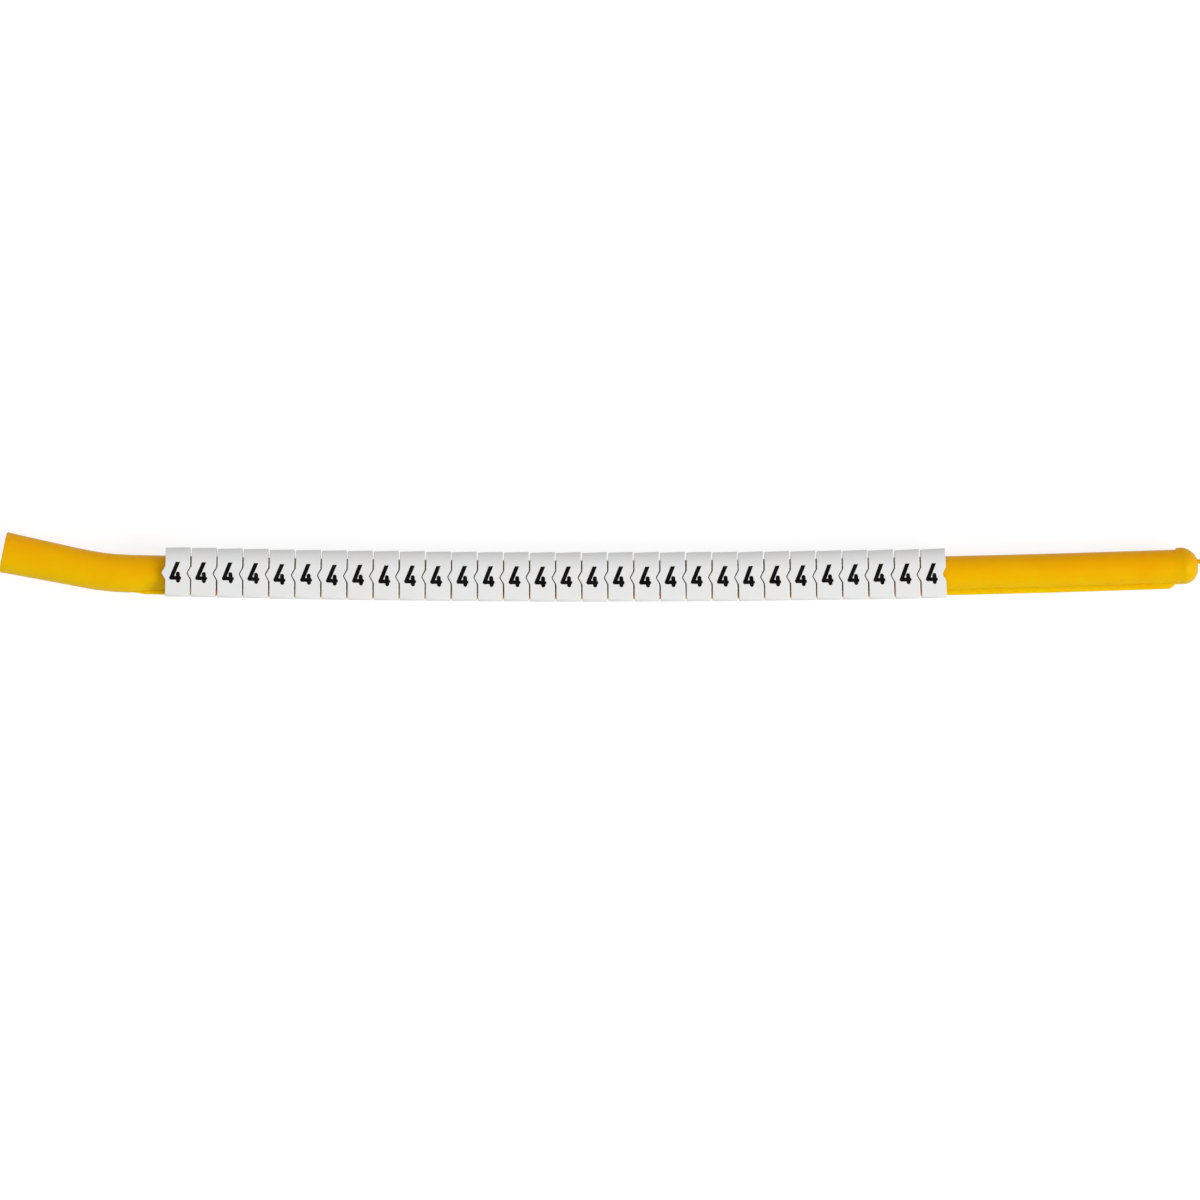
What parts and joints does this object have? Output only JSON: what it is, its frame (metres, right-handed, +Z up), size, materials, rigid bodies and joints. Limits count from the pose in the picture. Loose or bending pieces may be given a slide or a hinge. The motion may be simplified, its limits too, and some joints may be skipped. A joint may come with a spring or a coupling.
{
  "type": "cable marker wand",
  "caption": "Slim bowed wand, a finned round rod with a bent tail and rounded nose, carrying a row of C-shaped clip-on cable marker sleeves whose pointed ends nest.",
  "frame": {"origin": "under the middle of the row of sleeves, on the plane of their flat backs", "axes": "+X along the wand towards its nose, +Y to the sleeves' spines, away from the fin, +Z up through the printed faces"},
  "size_m": [0.1845, 0.0106, 0.0073],
  "materials": {
    "yellow_plastic": "satin",
    "white_plastic": "satin"
  },
  "bodies": {
    "wand": {"wand": "yellow_plastic"},
    "sleeve_01": {"sleeve_01": "white_plastic"},
    "sleeve_02": {"sleeve_02": "white_plastic"},
    "sleeve_03": {"sleeve_03": "white_plastic"},
    "sleeve_04": {"sleeve_04": "white_plastic"},
    "sleeve_05": {"sleeve_05": "white_plastic"},
    "sleeve_06": {"sleeve_06": "white_plastic"},
    "sleeve_07": {"sleeve_07": "white_plastic"},
    "sleeve_08": {"sleeve_08": "white_plastic"},
    "sleeve_09": {"sleeve_09": "white_plastic"},
    "sleeve_10": {"sleeve_10": "white_plastic"},
    "sleeve_11": {"sleeve_11": "white_plastic"},
    "sleeve_12": {"sleeve_12": "white_plastic"},
    "sleeve_13": {"sleeve_13": "white_plastic"},
    "sleeve_14": {"sleeve_14": "white_plastic"},
    "sleeve_15": {"sleeve_15": "white_plastic"},
    "sleeve_16": {"sleeve_16": "white_plastic"},
    "sleeve_17": {"sleeve_17": "white_plastic"},
    "sleeve_18": {"sleeve_18": "white_plastic"},
    "sleeve_19": {"sleeve_19": "white_plastic"},
    "sleeve_20": {"sleeve_20": "white_plastic"},
    "sleeve_21": {"sleeve_21": "white_plastic"},
    "sleeve_22": {"sleeve_22": "white_plastic"},
    "sleeve_23": {"sleeve_23": "white_plastic"},
    "sleeve_24": {"sleeve_24": "white_plastic"},
    "sleeve_25": {"sleeve_25": "white_plastic"},
    "sleeve_26": {"sleeve_26": "white_plastic"},
    "sleeve_27": {"sleeve_27": "white_plastic"},
    "sleeve_28": {"sleeve_28": "white_plastic"},
    "sleeve_29": {"sleeve_29": "white_plastic"},
    "sleeve_30": {"sleeve_30": "white_plastic"}
  },
  "joints": [
    {"name": "sleeve_01_slide", "type": "hinge", "parent": "wand", "child": "sleeve_01", "pos_m": [0, 2.6, 0], "axis": [0, 0, 1], "range_deg": [0, 0.0256]},
    {"name": "sleeve_02_slide", "type": "hinge", "parent": "sleeve_01", "child": "sleeve_02", "pos_m": [0, 2.6, 0], "axis": [0, 0, 1], "range_deg": [0, 0.0256]},
    {"name": "sleeve_03_slide", "type": "hinge", "parent": "sleeve_02", "child": "sleeve_03", "pos_m": [0, 2.6, 0], "axis": [0, 0, 1], "range_deg": [0, 0.0256]},
    {"name": "sleeve_04_slide", "type": "hinge", "parent": "sleeve_03", "child": "sleeve_04", "pos_m": [0, 2.6, 0], "axis": [0, 0, 1], "range_deg": [0, 0.0256]},
    {"name": "sleeve_05_slide", "type": "hinge", "parent": "sleeve_04", "child": "sleeve_05", "pos_m": [0, 2.6, 0], "axis": [0, 0, 1], "range_deg": [0, 0.0256]},
    {"name": "sleeve_06_slide", "type": "hinge", "parent": "sleeve_05", "child": "sleeve_06", "pos_m": [0, 2.6, 0], "axis": [0, 0, 1], "range_deg": [0, 0.0256]},
    {"name": "sleeve_07_slide", "type": "hinge", "parent": "sleeve_06", "child": "sleeve_07", "pos_m": [0, 2.6, 0], "axis": [0, 0, 1], "range_deg": [0, 0.0256]},
    {"name": "sleeve_08_slide", "type": "hinge", "parent": "sleeve_07", "child": "sleeve_08", "pos_m": [0, 2.6, 0], "axis": [0, 0, 1], "range_deg": [0, 0.0256]},
    {"name": "sleeve_09_slide", "type": "hinge", "parent": "sleeve_08", "child": "sleeve_09", "pos_m": [0, 2.6, 0], "axis": [0, 0, 1], "range_deg": [0, 0.0256]},
    {"name": "sleeve_10_slide", "type": "hinge", "parent": "sleeve_09", "child": "sleeve_10", "pos_m": [0, 2.6, 0], "axis": [0, 0, 1], "range_deg": [0, 0.0256]},
    {"name": "sleeve_11_slide", "type": "hinge", "parent": "sleeve_10", "child": "sleeve_11", "pos_m": [0, 2.6, 0], "axis": [0, 0, 1], "range_deg": [0, 0.0256]},
    {"name": "sleeve_12_slide", "type": "hinge", "parent": "sleeve_11", "child": "sleeve_12", "pos_m": [0, 2.6, 0], "axis": [0, 0, 1], "range_deg": [0, 0.0256]},
    {"name": "sleeve_13_slide", "type": "hinge", "parent": "sleeve_12", "child": "sleeve_13", "pos_m": [0, 2.6, 0], "axis": [0, 0, 1], "range_deg": [0, 0.0256]},
    {"name": "sleeve_14_slide", "type": "hinge", "parent": "sleeve_13", "child": "sleeve_14", "pos_m": [0, 2.6, 0], "axis": [0, 0, 1], "range_deg": [0, 0.0256]},
    {"name": "sleeve_15_slide", "type": "hinge", "parent": "sleeve_14", "child": "sleeve_15", "pos_m": [0, 2.6, 0], "axis": [0, 0, 1], "range_deg": [0, 0.0256]},
    {"name": "sleeve_16_slide", "type": "hinge", "parent": "sleeve_15", "child": "sleeve_16", "pos_m": [0, 2.6, 0], "axis": [0, 0, 1], "range_deg": [0, 0.0256]},
    {"name": "sleeve_17_slide", "type": "hinge", "parent": "sleeve_16", "child": "sleeve_17", "pos_m": [0, 2.6, 0], "axis": [0, 0, 1], "range_deg": [0, 0.0256]},
    {"name": "sleeve_18_slide", "type": "hinge", "parent": "sleeve_17", "child": "sleeve_18", "pos_m": [0, 2.6, 0], "axis": [0, 0, 1], "range_deg": [0, 0.0256]},
    {"name": "sleeve_19_slide", "type": "hinge", "parent": "sleeve_18", "child": "sleeve_19", "pos_m": [0, 2.6, 0], "axis": [0, 0, 1], "range_deg": [0, 0.0256]},
    {"name": "sleeve_20_slide", "type": "hinge", "parent": "sleeve_19", "child": "sleeve_20", "pos_m": [0, 2.6, 0], "axis": [0, 0, 1], "range_deg": [0, 0.0256]},
    {"name": "sleeve_21_slide", "type": "hinge", "parent": "sleeve_20", "child": "sleeve_21", "pos_m": [0, 2.6, 0], "axis": [0, 0, 1], "range_deg": [0, 0.0256]},
    {"name": "sleeve_22_slide", "type": "hinge", "parent": "sleeve_21", "child": "sleeve_22", "pos_m": [0, 2.6, 0], "axis": [0, 0, 1], "range_deg": [0, 0.0256]},
    {"name": "sleeve_23_slide", "type": "hinge", "parent": "sleeve_22", "child": "sleeve_23", "pos_m": [0, 2.6, 0], "axis": [0, 0, 1], "range_deg": [0, 0.0256]},
    {"name": "sleeve_24_slide", "type": "hinge", "parent": "sleeve_23", "child": "sleeve_24", "pos_m": [0, 2.6, 0], "axis": [0, 0, 1], "range_deg": [0, 0.0256]},
    {"name": "sleeve_25_slide", "type": "hinge", "parent": "sleeve_24", "child": "sleeve_25", "pos_m": [0, 2.6, 0], "axis": [0, 0, 1], "range_deg": [0, 0.0256]},
    {"name": "sleeve_26_slide", "type": "hinge", "parent": "sleeve_25", "child": "sleeve_26", "pos_m": [0, 2.6, 0], "axis": [0, 0, 1], "range_deg": [0, 0.0256]},
    {"name": "sleeve_27_slide", "type": "hinge", "parent": "sleeve_26", "child": "sleeve_27", "pos_m": [0, 2.6, 0], "axis": [0, 0, 1], "range_deg": [0, 0.0256]},
    {"name": "sleeve_28_slide", "type": "hinge", "parent": "sleeve_27", "child": "sleeve_28", "pos_m": [0, 2.6, 0], "axis": [0, 0, 1], "range_deg": [0, 0.0256]},
    {"name": "sleeve_29_slide", "type": "hinge", "parent": "sleeve_28", "child": "sleeve_29", "pos_m": [0, 2.6, 0], "axis": [0, 0, 1], "range_deg": [0, 0.0256]},
    {"name": "sleeve_30_slide", "type": "hinge", "parent": "sleeve_29", "child": "sleeve_30", "pos_m": [0, 2.6, 0], "axis": [0, 0, 1], "range_deg": [0, 0.0256]}
  ]
}
